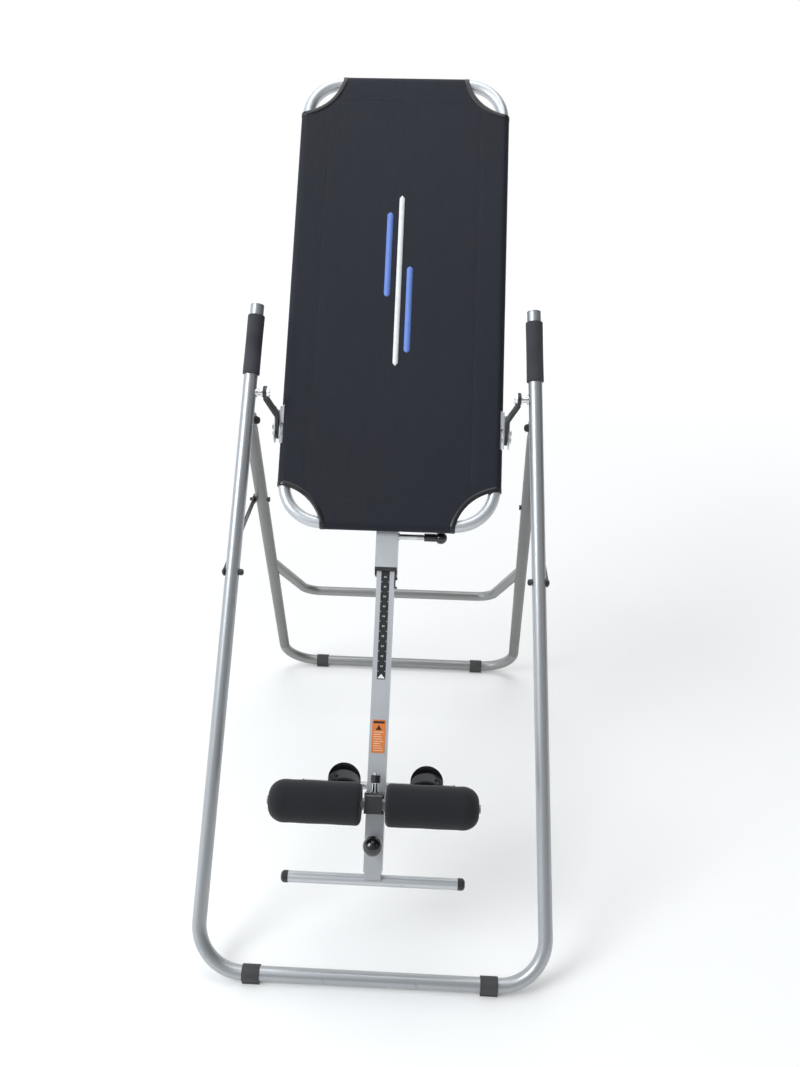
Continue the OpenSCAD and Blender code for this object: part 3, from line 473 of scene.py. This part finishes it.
def build_cover():
    bm = bmesh.new()
    bracket_lo, bracket_hi = bed_box("hinge_brackets")
    brace_lo, brace_hi = bed_box("bed_brace")
    notch = (bracket_lo.z - 4 * MM, bracket_hi.z + 5 * MM)
    brace = (brace_lo.z - 3 * MM, brace_hi.z + 3 * MM)
    cut_steps = 16
    foot = [foot_edge(1 - i / cut_steps) for i in range(cut_steps)]
    head = [head_edge((i + 1) / cut_steps) for i in range(cut_steps)]
    middle = spread([FOOT_CUT[1], *notch, *brace, HEAD_CUT[1]], GRID)
    rows = foot + [Vector((TUBE_X, z)) for z in middle] + head
    sleeve_half = bed_box("boom_sleeve")[1].x + 3 * MM
    seam = TUBE_X - POCKET
    half = spread([0, sleeve_half, seam - 9 * MM, seam, seam + 9 * MM, TUBE_X], GRID * 1.3)
    columns = [-x for x in reversed(half[1:])] + half
    sheet = [[bm.verts.new(front_point(x * r.x / TUBE_X, r.y)) for x in columns] for r in rows]
    for a, b in zip(sheet, sheet[1:]):
        for i in range(len(columns) - 1):
            bm.faces.new((a[i], a[i + 1], b[i + 1], b[i]))
    path, turn_count = pocket_path()
    first = len(foot)
    side_rows = range(first, first + len(middle))

    def flap(edge, place, cut):
        """Carries an edge of the sheet round its tube and back to its seam, leaving out what cut() names."""
        lines = [edge]
        for point in path:
            lines.append([bm.verts.new(place(k, point)) for k in range(len(edge))])
        for step, (a, b) in enumerate(zip(lines, lines[1:])):
            for k in range(len(edge) - 1):
                if not cut(k, step):
                    bm.faces.new((a[k], a[k + 1], b[k + 1], b[k]))

    angles = [math.degrees(math.atan2(p[1], p[0])) for p in path[:turn_count]]

    def past(step, angle):
        return step > 0 and (step >= turn_count or angles[step - 1] > angle - 1)

    def side_cut(k, step):
        z = (middle[k] + middle[k + 1]) / 2
        at_bracket = notch[0] < z < notch[1] and past(step, BRACKET_FROM)
        at_brace = brace[0] < z < brace[1] and past(step, BRACE_FROM)
        return at_bracket or at_brace

    for s in (-1, 1):
        column = 0 if s < 0 else len(columns) - 1
        edge = [sheet[r][column] for r in side_rows]
        flap(edge, lambda k, p, s=s: (s * (TUBE_X + p[0]), TUBE_Y + p[1], middle[k]), side_cut)

    def foot_cut(k, step):
        x = (sheet[0][k].co.x + sheet[0][k + 1].co.x) / 2
        return abs(x) < sleeve_half and past(step, SLEEVE_FROM)

    flap(sheet[0], lambda k, p: (sheet[0][k].co.x, TUBE_Y + p[1], FOOT_Z - p[0]), foot_cut)
    flap(sheet[-1], lambda k, p: (sheet[-1][k].co.x, TUBE_Y + p[1], HEAD_Z + p[0]), lambda k, step: False)
    loose = [v for v in bm.verts if not v.link_faces]
    bmesh.ops.delete(bm, geom=loose, context="VERTS")
    bm.transform(BED)
    mesh = mesh_from("cover_sling", bm)
    cover = add_object("cover_sling", mesh, "table", MATERIALS["cover_fabric"])
    thick = cover.modifiers.new("cloth", "SOLIDIFY")
    thick.thickness = CLOTH
    thick.offset = 0
    thick.use_even_offset = True
    return bake(cover)


def bake(piece):
    """Applies a piece's modifiers."""
    graph = bpy.context.evaluated_depsgraph_get()
    mesh = bpy.data.meshes.new_from_object(piece.evaluated_get(graph), depsgraph=graph)
    piece.modifiers.clear()
    piece.data = mesh
    return piece


# ---- the cover's binding, stitches and printed mark ----

def corner_path(edge, end_z):
    """Points and outward normals of the cloth's edge at a right-hand cut corner, in the bed's frame."""
    path, turn_count = pocket_path()
    side_z = edge(0).y
    end_x = edge(1).x
    out = 1 if end_z > side_z else -1
    points, normals = [], []
    for p in reversed(path[:turn_count]):
        points.append(Vector((TUBE_X + p[0], TUBE_Y + p[1], side_z)))
        normals.append(Vector((p[0], p[1], 0)).normalized())
    steps = 22
    for i in range(steps + 1):
        x, z = edge(i / steps)
        points.append(front_point(x, z))
        normals.append(Vector((0, -1, 0)))
    for p in path[:turn_count]:
        points.append(Vector((end_x, TUBE_Y + p[1], end_z + out * p[0])))
        normals.append(Vector((0, p[1], out * p[0])).normalized())
    return points, normals


def smooth(values, passes=2):
    for _ in range(passes):
        inner = [(a + b * 2 + c) / 4 for a, b, c in zip(values, values[1:], values[2:])]
        values = [values[0], *inner, values[-1]]
    return values


def edge_frames(edge, end_z, s):
    """The edge of a cut corner as (point, towards the cloth, outward), for either side."""
    points, normals = corner_path(edge, end_z)
    points = smooth(points)
    frames = []
    middle = Vector((0, 0, (HEAD_Z + FOOT_Z) / 2))
    for i, (point, normal) in enumerate(zip(points, normals)):
        ahead = points[min(i + 1, len(points) - 1)] - points[max(i - 1, 0)]
        inward = ahead.cross(normal).normalized()
        to_middle = Vector((-point.x, 0, middle.z - point.z))
        if inward.dot(to_middle) < 0:
            inward = -inward
        frames.append([Vector((s * v.x, v.y, v.z)) for v in (point, inward, normal)])
    return frames


CORNERS = [(edge, end_z, s) for edge, end_z in ((foot_edge, FOOT_Z), (head_edge, HEAD_Z)) for s in (-1, 1)]
TAPE_W = 9 * MM
TAPE_T = 0.7 * MM


def build_binding():
    bm = bmesh.new()
    top = CLOTH / 2 + TAPE_T
    under = -0.2 * MM
    outline = [(-TAPE_T, under), (-TAPE_T, top * 0.75), (-TAPE_T * 0.3, top), (TAPE_W * 0.5, top),
               (TAPE_W, top), (TAPE_W + 0.3 * MM, top * 0.7), (TAPE_W, CLOTH * 0.3), (0, under)]
    for edge, end_z, s in CORNERS:
        loops = []
        for point, inward, normal in edge_frames(edge, end_z, s):
            loops.append([point + inward * across + normal * up for across, up in outline])
        add_tube(bm, loops, closed=False)
    bm.transform(BED)
    return add_object("cover_binding", mesh_from("cover_binding", bm), "table", BINDING_TAPE)


STITCH = 2.7 * MM
STITCH_PITCH = 3.9 * MM
STITCH_R = 0.32 * MM


def add_stitch(bm, start, end, normal):
    """One short stitch that rises from the cloth and goes back into it."""
    along = (end - start).normalized()
    side = along.cross(normal).normalized()
    loops = []
    for i in range(5):
        t = i / 4
        lift = math.sin(math.pi * t)
        centre = start.lerp(end, t) + normal * STITCH_R * (lift * 1.1 - 0.4)
        radius = STITCH_R * (0.55 + 0.45 * lift)
        loops.append([centre + (side * math.cos(a) + normal * math.sin(a)) * radius
                      for a in (math.tau * k / 6 for k in range(6))])
    add_tube(bm, loops, closed=False)


def stitch_along(bm, points, normals):
    """Stitches at a steady pitch along a line of points."""
    travelled = 0.0
    due = STITCH_PITCH / 2
    for (a, b), normal in zip(zip(points, points[1:]), normals):
        length = (b - a).length
        while due <= travelled + length:
            direction = (b - a) / length
            at = a + direction * (due - travelled)
            add_stitch(bm, at, at + direction * STITCH, normal)
            due += STITCH_PITCH
        travelled += length


def build_stitches():
    bm = bmesh.new()
    top = CLOTH / 2 + TAPE_T
    for edge, end_z, s in CORNERS:
        frames = edge_frames(edge, end_z, s)
        normals = [f[2] for f in frames]
        for inset in (2.2 * MM, 6.4 * MM):
            stitch_along(bm, [p + inward * inset + n * top for p, inward, n in frames], normals)
    outward = Vector((0, -1, 0))
    seam = TUBE_X - POCKET
    for inset in (0, 4.5 * MM):
        for s in (-1, 1):
            x = s * (seam + inset)
            zs = spread([FOOT_CUT[1] + 12 * MM, HEAD_CUT[1] - 12 * MM], GRID)
            line = [front_point(x, z, CLOTH / 2) for z in zs]
            stitch_along(bm, line, [outward] * len(line))
        for end_z, half, out in ((FOOT_Z, FOOT_CUT[0], -1), (HEAD_Z, HEAD_CUT[0], 1)):
            z = end_z - out * (POCKET - inset)
            reach = half + 4 * MM
            line = [front_point(x, z, CLOTH / 2) for x in spread([-reach, reach], GRID)]
            stitch_along(bm, line, [outward] * len(line))
    bm.transform(BED)
    return add_object("cover_stitches", mesh_from("cover_stitches", bm), "table", THREAD)


def add_print(bm, x_of, half_of, z_range):
    """A printed stripe on the cloth: x_of and half_of give its middle and half its width along it."""
    lift, film = CLOTH / 2 + 0.02 * MM, 0.12 * MM
    loops = []
    steps = 60
    for i in range(steps + 1):
        t = i / steps
        z = z_range[0] + (z_range[1] - z_range[0]) * t
        x, half = x_of(t), max(half_of(t), 0.2 * MM)
        loops.append([front_point(x + half * k, z, lift + up)
                      for k, up in ((-1, 0), (0, 0), (1, 0), (1, film), (0, film), (-1, film))])
    add_tube(bm, loops, closed=False)


def round_end(t, end=0.03):
    """Rounds a stripe's ends: 0 at its tips and 1 along it."""
    near = min(1.0, min(t, 1 - t) / end)
    return math.sqrt(max(0.0, 1 - (1 - near) ** 2))


def build_marks():
    white = bmesh.new()
    add_print(white, lambda t: 2 * MM, lambda t: 5.5 * MM * round_end(t, 0.015), (80 * MM, 470 * MM))
    blue = bmesh.new()
    add_print(blue, lambda t: -22 * MM, lambda t: 6.5 * MM * round_end(t, 0.04), (235 * MM, 430 * MM))
    add_print(blue, lambda t: 25 * MM, lambda t: 6.5 * MM * round_end(t, 0.04), (110 * MM, 305 * MM))
    made = []
    for name, bm, ink in (("cover_stripe_white", white, WHITE_INK), ("cover_stripe_blue", blue, BLUE_INK)):
        bm.transform(BED)
        made.append(add_object(name, mesh_from(name, bm), "table", ink))
    return made


cover = build_cover()
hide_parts("cover")
trims = [build_binding(), build_stitches(), *build_marks()]


# ---- foam rollers ----

def build_roller(name, node, body, s):
    lo, hi = bed_box(node)
    inner, outer = (lo.x, hi.x) if s > 0 else (-hi.x, -lo.x)
    radius = (hi.z - lo.z) / 2 - 0.2 * MM
    centre = Vector((0, (lo.y + hi.y) / 2, (lo.z + hi.z) / 2))
    bore = 5.2 * MM
    inner_edge, outer_edge = (9 * MM, 10 * MM), (31 * MM, 27 * MM)
    dish = 1.5 * MM
    profile = [(inner + dish, bore), (inner + dish * 0.6, bore + 5 * MM), (inner, bore + 12 * MM)]
    profile += quarter((inner + inner_edge[0], radius - inner_edge[1]), inner_edge, 180)
    waist = spread([inner + inner_edge[0], outer - outer_edge[0]], 12 * MM)[1:-1]
    profile += [(x, radius - 0.25 * MM * (1 + math.sin(x * 90))) for x in waist]
    profile += quarter((outer - outer_edge[0], radius - outer_edge[1]), outer_edge, 90, 12)
    profile += [(outer - 0.4 * MM, bore + 4 * MM), (outer - dish, bore)]
    bm = bmesh.new()
    add_lathe(bm, profile, centre, (s, 0, 0), 96)
    bm.transform(BED)
    piece = add_object(name, mesh_from(name, bm), body, MATERIALS["roller_foam"])
    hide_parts(node)


build_roller("roller_foam_left", "roller_left", "left_roller", -1)
build_roller("roller_foam_right", "roller_right", "right_roller", 1)


# ---- foam grips ----

def long_axis(node, s):
    """Centre, direction and half length of the part of a node on one side of the middle."""
    points = np.array([v.co for v in NODES[node].data.vertices if v.co.x * s > 0])
    centre = (points.max(0) + points.min(0)) / 2
    axis = Vector(np.linalg.svd(points - points.mean(0), full_matrices=False)[2][0])
    if axis.z < 0:
        axis.negate()
    along = (points - centre) @ np.array(axis)
    middle = Vector(centre) + axis * float(along.max() + along.min()) / 2
    return middle, axis, float(along.max() - along.min()) / 2


def build_grips():
    bm = bmesh.new()
    outer, bore, lip = 17.5 * MM, 14.15 * MM, 2.2 * MM
    for s in (-1, 1):
        centre, axis, half = long_axis("handle_grips", s)
        profile = [(-half, bore)]
        profile += quarter((-half + lip, outer - lip), (lip, lip), 180, 5)
        waist = spread([-half + 4 * MM, half - 4 * MM], 9 * MM)
        profile += [(x, outer - 0.35 * MM * (1 - (x / half) ** 2)) for x in waist]
        profile += quarter((half - lip, outer - lip), (lip, lip), 90, 5)
        profile += [(half, bore)]
        add_lathe(bm, profile, centre, axis, 64)
    mesh = mesh_from("grip_foam_pair", bm)
    piece = add_object("grip_foam_pair", mesh, "front_frame", MATERIALS["grip_foam"])
    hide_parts("handle_grips")


build_grips()


# ---- printing on the boom ----

LABEL_LO, LABEL_HI = bed_box("boom_labels")
LABEL_FRONT = LABEL_LO.y
SCALE_TOP, SCALE_LENGTH = LABEL_HI.z, 224 * MM
SCALE_STEP = 20 * MM
SCALE_MARKS = 10
WARNING_LOW, WARNING_SIZE = LABEL_LO.z, (26 * MM, 64 * MM)
WARNING_LINES = 9
ON_LABEL, ON_FILM = 0.03 * MM, 0.1 * MM  # how far print stands off the CAD label and off the orange film


def add_patch(bm, corners, lift, film=0.06 * MM):
    """A flat piece of print from its outline (x, z), in front of the CAD labels by its lift."""
    back = LABEL_FRONT - lift
    loops = [[Vector((x, y, z)) for x, z in corners] for y in (back, back - film)]
    add_tube(bm, loops, closed=False)


def add_mark(bm, x, z, wide, high, lift):
    add_patch(bm, [(x - wide / 2, z - high / 2), (x + wide / 2, z - high / 2),
                   (x + wide / 2, z + high / 2), (x - wide / 2, z + high / 2)], lift)


def build_scale_marks():
    """White height marks: a block for each number, ticks between them and a pointer at the foot."""
    bm = bmesh.new()
    bottom = SCALE_TOP - SCALE_LENGTH
    for i in range(SCALE_MARKS):
        z = SCALE_TOP - 18 * MM - i * SCALE_STEP
        for x in (-1.4 * MM, 1.4 * MM):
            add_mark(bm, x, z, 1.2 * MM, 3 * MM, ON_LABEL)
        for x in (-6.9 * MM, 6.9 * MM):
            add_mark(bm, x, z - SCALE_STEP / 2, 2.4 * MM, 1 * MM, ON_LABEL)
    half, foot, tip = 7.5 * MM, bottom + 1.8 * MM, bottom + 11 * MM
    add_patch(bm, [(-half, foot), (half, foot), (0, tip)], ON_LABEL)
    bm.transform(BED)
    add_object("scale_marks", mesh_from("scale_marks", bm, False), "boom_assembly", WHITE_INK)


def build_warning_label():
    """An orange label with plain stripes in place of its words."""
    middle = WARNING_LOW + WARNING_SIZE[1] / 2
    margin = 0.2 * MM
    film = bmesh.new()
    add_mark(film, 0, middle, WARNING_SIZE[0] + margin, WARNING_SIZE[1] + margin, ON_LABEL)
    pale = bmesh.new()
    full = 19 * MM
    for i in range(WARNING_LINES):
        wide = full - 5 * MM * ((i * 3) % 4) / 3
        add_mark(pale, (wide - full) / 2, middle + (8 - 4.4 * i) * MM, wide, 1.3 * MM, ON_FILM)
    dark = bmesh.new()
    top = middle + WARNING_SIZE[1] / 2
    add_mark(dark, 0, top - 5 * MM, 22 * MM, 4.5 * MM, ON_FILM)
    half, foot, tip = 6 * MM, top - 20 * MM, top - 10 * MM
    add_patch(dark, [(-half, foot), (half, foot), (0, tip)], ON_FILM)
    for name, bm, ink in (("warning_film", film, ORANGE_FILM), ("warning_lines", pale, PALE_INK),
                          ("warning_sign", dark, MATERIALS["label_print"])):
        bm.transform(BED)
        add_object(name, mesh_from(name, bm, False), "boom_assembly", ink)


build_scale_marks()
build_warning_label()


# ---- floor and light ----

def make_floor():
    bm = bmesh.new()
    bmesh.ops.create_circle(bm, cap_ends=True, segments=96, radius=9)
    floor = bpy.data.objects.new("floor", mesh_from("floor", bm))
    bpy.context.scene.collection.objects.link(floor)
    surface = Surface("floor", (0.86, 0.86, 0.855), 0.0, 0.6)
    surface.rough(surface.band(surface.noise(3, 2), 0.3, 0.7, 0.55, 0.7))
    distance = surface.node("ShaderNodeVectorMath", operation="LENGTH")
    surface.link(surface.place, distance.inputs[0])
    glow = surface.band(distance.outputs["Value"], 1.2, 5, 0.12, 0.5)  # keeps the floor white far out
    surface.link(glow, surface.shader.inputs["Emission Strength"])
    surface.set(Emission_Color=(1, 1, 1, 1))
    floor.data.materials.append(surface.material)


def add_light(name, at, target, size, power, colour=(1, 1, 1)):
    data = bpy.data.lights.new(name, "AREA")
    data.shape = "RECTANGLE"
    data.size, data.size_y = size
    data.energy = power
    data.color = colour
    light = bpy.data.objects.new(name, data)
    light.location = at
    light.rotation_euler = (Vector(target) - Vector(at)).to_track_quat("-Z", "Y").to_euler()
    bpy.context.scene.collection.objects.link(light)


def make_world():
    """A studio: bright and cool on the left, dim on the right, grey behind the camera, white at the back."""
    world = bpy.data.worlds.new("studio")
    world.use_nodes = True
    tree = world.node_tree
    direction = tree.nodes.new("ShaderNodeTexCoord").outputs["Generated"]
    axes = tree.nodes.new("ShaderNodeSeparateXYZ")
    tree.links.new(direction, axes.inputs["Vector"])

    def blend(axis, low, high, a, b):
        factor = tree.nodes.new("ShaderNodeMapRange")
        factor.interpolation_type = "SMOOTHSTEP"
        factor.inputs["From Min"].default_value = low
        factor.inputs["From Max"].default_value = high
        tree.links.new(axes.outputs[axis], factor.inputs["Value"])
        mixed = tree.nodes.new("ShaderNodeMix")
        mixed.data_type = "RGBA"
        tree.links.new(factor.outputs["Result"], mixed.inputs["Factor"])
        for socket, value in ((mixed.inputs[6], a), (mixed.inputs[7], b)):
            if isinstance(value, tuple):
                socket.default_value = (*value, 1)
            else:
                tree.links.new(value, socket)
        return mixed.outputs[2]

    sides = blend("X", -0.55, 0.45, (0.9, 0.95, 1.0), (0.07, 0.07, 0.068))
    camera_side = blend("Y", -0.95, -0.5, (0.42, 0.43, 0.44), sides)
    whole = blend("Y", 0.45, 0.8, camera_side, (1.0, 1.0, 1.0))
    tree.links.new(whole, tree.nodes["Background"].inputs["Color"])
    bpy.context.scene.world = world


def make_light():
    make_world()
    middle = (0, 0, 0.8)
    add_light("key", (-2.6, -2.2, 3.2), middle, (1.6, 2.2), 90, (0.95, 0.98, 1))
    add_light("fill", (3.0, -1.8, 2.0), middle, (1.4, 2.4), 4, (1, 0.99, 0.97))
    add_light("top", (0, 0.6, 4.2), middle, (3, 3), 60)


make_floor()
make_light()
bpy.context.scene.view_settings.view_transform = "Standard"
